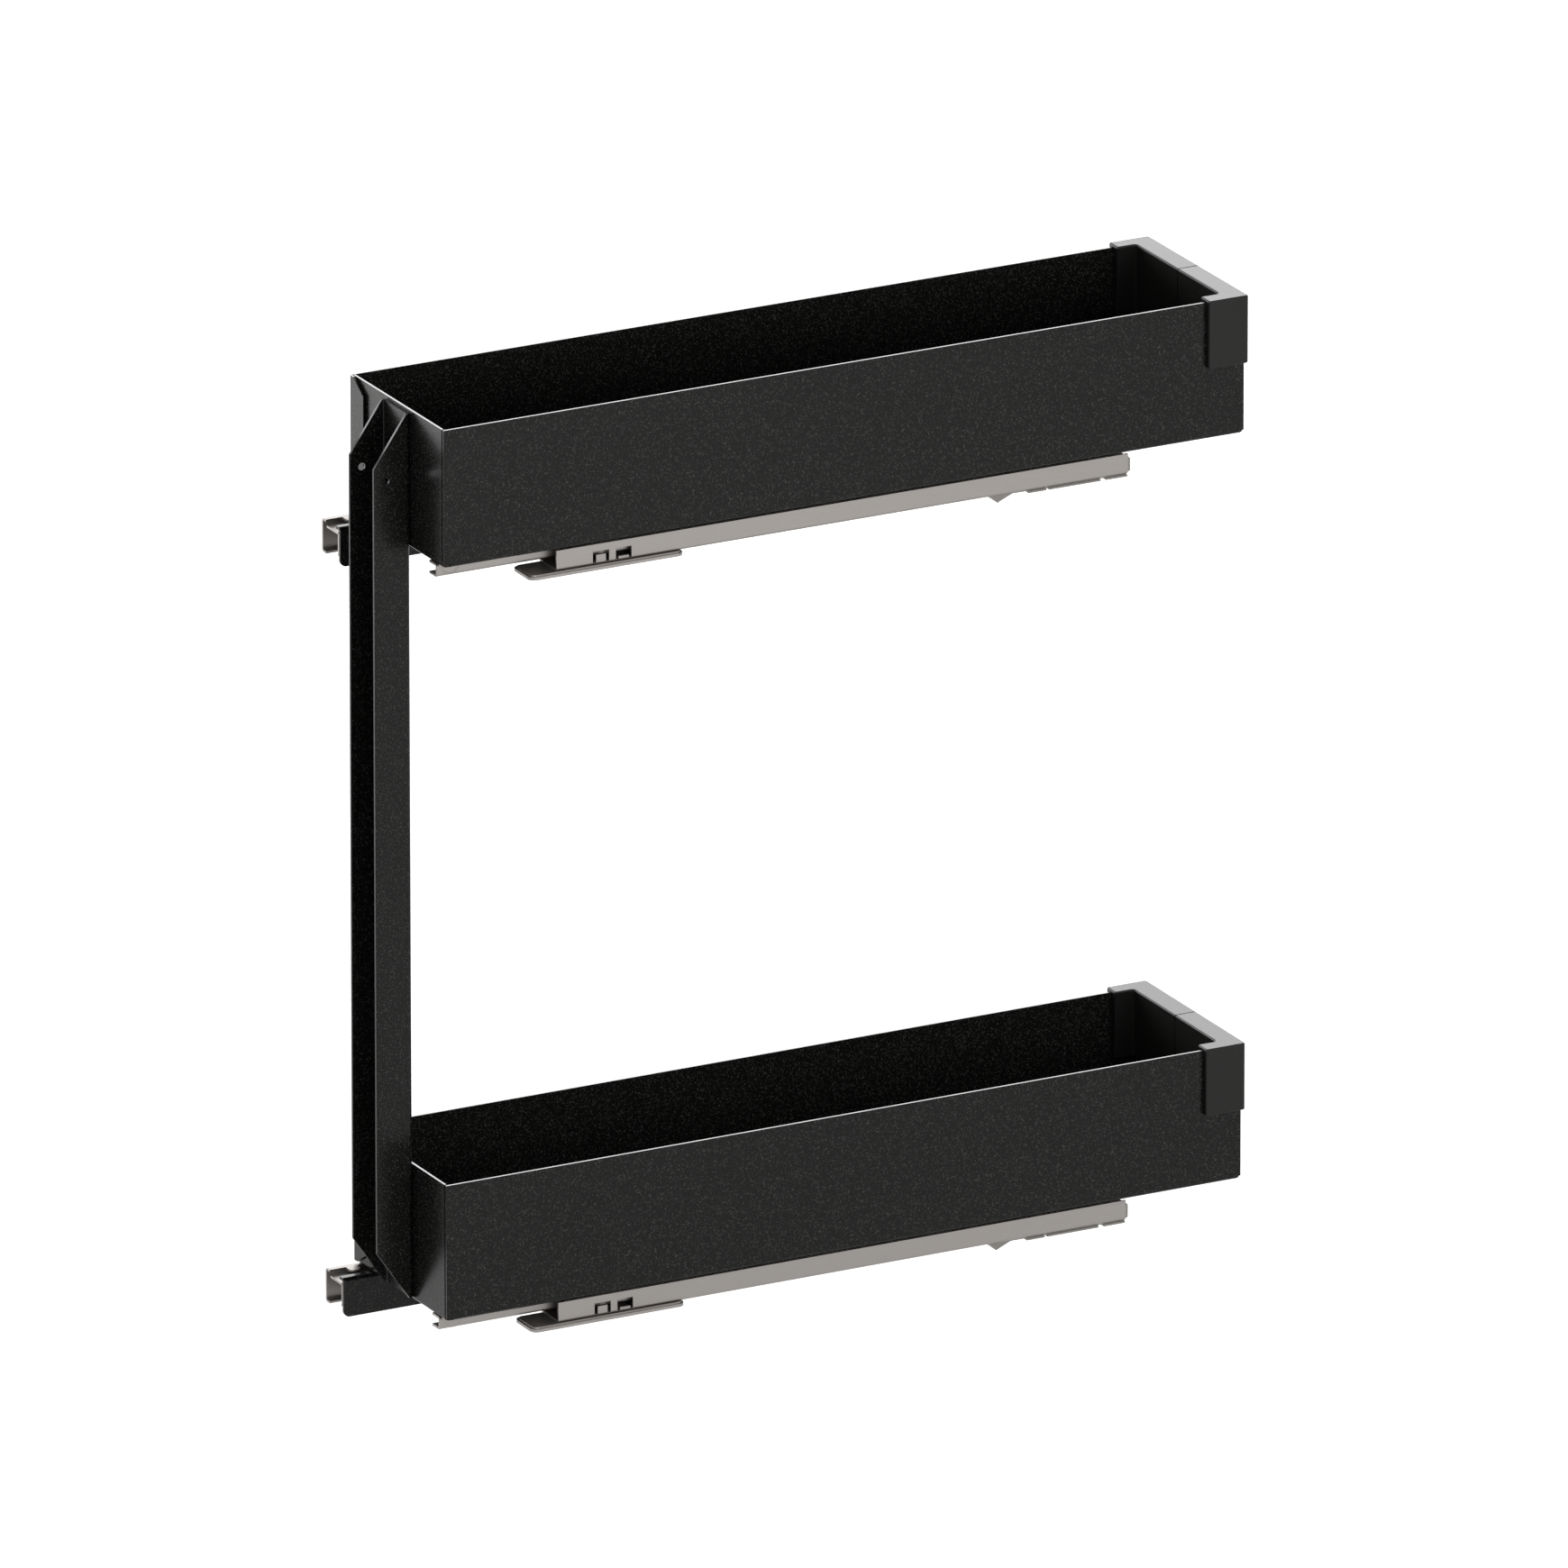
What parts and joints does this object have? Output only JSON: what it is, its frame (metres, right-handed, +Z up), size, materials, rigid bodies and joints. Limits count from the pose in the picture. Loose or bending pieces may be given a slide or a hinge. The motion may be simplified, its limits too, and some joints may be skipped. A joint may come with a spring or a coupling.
{
  "type": "pull-out under-counter rack",
  "caption": "Narrow pull-out under-counter rack: open steel trays on a channel post, carried by full-extension telescopic runners with soft-close units.",
  "frame": {"origin": "centre of the four wall-screw holes, on the outer faces of the far cabinet rails", "axes": "+X from the cabinet wall across the rack to its near side, +Y to the rear (the rack pulls out along -Y), +Z up"},
  "size_m": [0.1114, 0.4925, 0.5134],
  "materials": {
    "black_powder_coat": "fine textured black powder coat",
    "black_plastic": "smooth matt black moulding",
    "grey_plastic": "grey moulding",
    "zinc_steel": "bright zinc-plated strip steel",
    "cage_steel": "pressed steel cage with steel balls",
    "bright_steel": "bright steel"
  },
  "bodies": {
    "cabinet_side": {"near_cabinet_rail_lower": "zinc_steel", "near_foot_plate_lower": "zinc_steel", "near_foot_rivet_lower": "zinc_steel", "near_rear_plug_lower": "grey_plastic", "near_rear_clip_lower": "grey_plastic", "closer_housing_lower": "grey_plastic", "closer_damper_lower": "bright_steel", "closer_spring_lower": "bright_steel", "far_cabinet_rail_lower": "zinc_steel", "near_cabinet_rail_upper": "zinc_steel", "near_foot_plate_upper": "zinc_steel", "near_foot_rivet_upper": "zinc_steel", "near_rear_plug_upper": "grey_plastic", "near_rear_clip_upper": "grey_plastic", "closer_housing_upper": "grey_plastic", "closer_damper_upper": "bright_steel", "closer_spring_upper": "bright_steel", "far_cabinet_rail_upper": "zinc_steel"},
    "rack": {"front_post": "black_powder_coat", "post_rivets": "black_powder_coat", "tray_lower": "black_powder_coat", "cap_near_lower": "black_plastic", "cap_far_lower": "black_plastic", "floor_rivets_lower": "black_powder_coat", "near_tray_rail_lower": "zinc_steel", "far_tray_rail_lower": "zinc_steel", "far_bracket_lower": "black_powder_coat", "bracket_rivets_lower": "bright_steel", "tray_upper": "black_powder_coat", "cap_near_upper": "black_plastic", "cap_far_upper": "black_plastic", "floor_rivets_upper": "black_powder_coat", "near_tray_rail_upper": "zinc_steel", "far_tray_rail_upper": "zinc_steel", "far_bracket_upper": "black_powder_coat", "bracket_rivets_upper": "bright_steel"},
    "near_middle_lower": {"near_middle_rail_lower": "zinc_steel"},
    "near_outer_cage_lower": {"near_outer_cage_lower": "cage_steel"},
    "near_inner_cage_lower": {"near_inner_cage_lower": "cage_steel"},
    "far_middle_lower": {"far_middle_rail_lower": "zinc_steel"},
    "far_outer_cage_lower": {"far_outer_cage_lower": "cage_steel"},
    "far_inner_cage_lower": {"far_inner_cage_lower": "cage_steel"},
    "catch_lower": {"closer_catch_lower": "grey_plastic", "closer_rod_lower": "bright_steel"},
    "near_middle_upper": {"near_middle_rail_upper": "zinc_steel"},
    "near_outer_cage_upper": {"near_outer_cage_upper": "cage_steel"},
    "near_inner_cage_upper": {"near_inner_cage_upper": "cage_steel"},
    "far_middle_upper": {"far_middle_rail_upper": "zinc_steel"},
    "far_outer_cage_upper": {"far_outer_cage_upper": "cage_steel"},
    "far_inner_cage_upper": {"far_inner_cage_upper": "cage_steel"},
    "catch_upper": {"closer_catch_upper": "grey_plastic", "closer_rod_upper": "bright_steel"}
  },
  "joints": [
    {"name": "rack_slide", "type": "slide", "parent": "cabinet_side", "child": "rack", "axis": [0, -1, 0], "range_m": [0, 0.43]},
    {"name": "near_middle_lower_slide", "type": "slide", "parent": "cabinet_side", "child": "near_middle_lower", "axis": [0, -1, 0], "range_m": [0, 0.215]},
    {"name": "near_outer_cage_lower_slide", "type": "slide", "parent": "cabinet_side", "child": "near_outer_cage_lower", "axis": [0, -1, 0], "range_m": [0, 0.1075]},
    {"name": "near_inner_cage_lower_slide", "type": "slide", "parent": "cabinet_side", "child": "near_inner_cage_lower", "axis": [0, -1, 0], "range_m": [0, 0.3225]},
    {"name": "far_middle_lower_slide", "type": "slide", "parent": "cabinet_side", "child": "far_middle_lower", "axis": [0, -1, 0], "range_m": [0, 0.215]},
    {"name": "far_outer_cage_lower_slide", "type": "slide", "parent": "cabinet_side", "child": "far_outer_cage_lower", "axis": [0, -1, 0], "range_m": [0, 0.1075]},
    {"name": "far_inner_cage_lower_slide", "type": "slide", "parent": "cabinet_side", "child": "far_inner_cage_lower", "axis": [0, -1, 0], "range_m": [0, 0.3225]},
    {"name": "catch_lower_slide", "type": "slide", "parent": "cabinet_side", "child": "catch_lower", "axis": [0, -1, 0], "range_m": [0, 0.036], "stiffness_N_per_m": 200, "springref_m": -0.05, "deforming": ["closer_spring_lower"]},
    {"name": "near_middle_upper_slide", "type": "slide", "parent": "cabinet_side", "child": "near_middle_upper", "axis": [0, -1, 0], "range_m": [0, 0.215]},
    {"name": "near_outer_cage_upper_slide", "type": "slide", "parent": "cabinet_side", "child": "near_outer_cage_upper", "axis": [0, -1, 0], "range_m": [0, 0.1075]},
    {"name": "near_inner_cage_upper_slide", "type": "slide", "parent": "cabinet_side", "child": "near_inner_cage_upper", "axis": [0, -1, 0], "range_m": [0, 0.3225]},
    {"name": "far_middle_upper_slide", "type": "slide", "parent": "cabinet_side", "child": "far_middle_upper", "axis": [0, -1, 0], "range_m": [0, 0.215]},
    {"name": "far_outer_cage_upper_slide", "type": "slide", "parent": "cabinet_side", "child": "far_outer_cage_upper", "axis": [0, -1, 0], "range_m": [0, 0.1075]},
    {"name": "far_inner_cage_upper_slide", "type": "slide", "parent": "cabinet_side", "child": "far_inner_cage_upper", "axis": [0, -1, 0], "range_m": [0, 0.3225]},
    {"name": "catch_upper_slide", "type": "slide", "parent": "cabinet_side", "child": "catch_upper", "axis": [0, -1, 0], "range_m": [0, 0.036], "stiffness_N_per_m": 200, "springref_m": -0.05, "deforming": ["closer_spring_upper"]}
  ],
  "couplings": [
    {"joint": "near_middle_lower_slide", "follows": "rack_slide", "ratio": 0.5},
    {"joint": "near_outer_cage_lower_slide", "follows": "rack_slide", "ratio": 0.25},
    {"joint": "near_inner_cage_lower_slide", "follows": "rack_slide", "ratio": 0.75},
    {"joint": "far_middle_lower_slide", "follows": "rack_slide", "ratio": 0.5},
    {"joint": "far_outer_cage_lower_slide", "follows": "rack_slide", "ratio": 0.25},
    {"joint": "far_inner_cage_lower_slide", "follows": "rack_slide", "ratio": 0.75},
    {"joint": "near_middle_upper_slide", "follows": "rack_slide", "ratio": 0.5},
    {"joint": "near_outer_cage_upper_slide", "follows": "rack_slide", "ratio": 0.25},
    {"joint": "near_inner_cage_upper_slide", "follows": "rack_slide", "ratio": 0.75},
    {"joint": "far_middle_upper_slide", "follows": "rack_slide", "ratio": 0.5},
    {"joint": "far_outer_cage_upper_slide", "follows": "rack_slide", "ratio": 0.25},
    {"joint": "far_inner_cage_upper_slide", "follows": "rack_slide", "ratio": 0.75}
  ]
}
